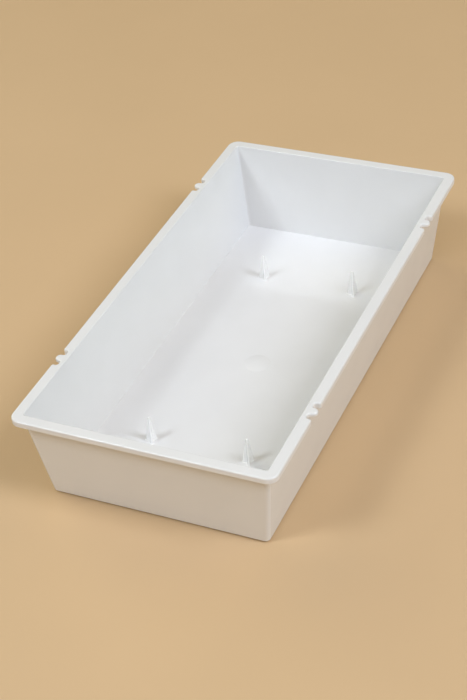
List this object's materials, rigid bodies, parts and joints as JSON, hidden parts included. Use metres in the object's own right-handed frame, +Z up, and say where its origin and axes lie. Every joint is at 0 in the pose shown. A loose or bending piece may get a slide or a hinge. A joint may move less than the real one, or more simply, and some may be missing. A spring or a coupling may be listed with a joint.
{
  "type": "paint roller tray",
  "caption": "Deep rectangular white plastic tray with leaning walls, a turned-down rim with notched tie pegs, and pointed prongs on its flat floor.",
  "frame": {"origin": "middle of the flat base, on the surface that the tray stands on", "axes": "+Z up out of the open top, +Y along the tray towards its rear short side, +X across it towards its right long side"},
  "size_m": [0.1418, 0.274, 0.0524],
  "materials": {
    "white_plastic": "glossy white injection-moulded plastic"
  },
  "bodies": {
    "root": {"floor_panel": "white_plastic", "floor_prong_front_left": "white_plastic", "floor_prong_front_right": "white_plastic", "floor_prong_rear_left": "white_plastic", "floor_prong_rear_right": "white_plastic", "front_rim": "white_plastic", "front_wall": "white_plastic", "gate_dome": "white_plastic", "left_rim_front": "white_plastic", "left_rim_middle": "white_plastic", "left_rim_rear": "white_plastic", "left_wall": "white_plastic", "rear_rim": "white_plastic", "rear_wall": "white_plastic", "right_rim_front": "white_plastic", "right_rim_middle": "white_plastic", "right_rim_rear": "white_plastic", "right_wall": "white_plastic", "rim_neck_front_left": "white_plastic", "rim_neck_front_right": "white_plastic", "rim_neck_rear_left": "white_plastic", "rim_neck_rear_right": "white_plastic", "tie_peg_front_left": "white_plastic", "tie_peg_front_right": "white_plastic", "tie_peg_rear_left": "white_plastic", "tie_peg_rear_right": "white_plastic"}
  },
  "joints": []
}
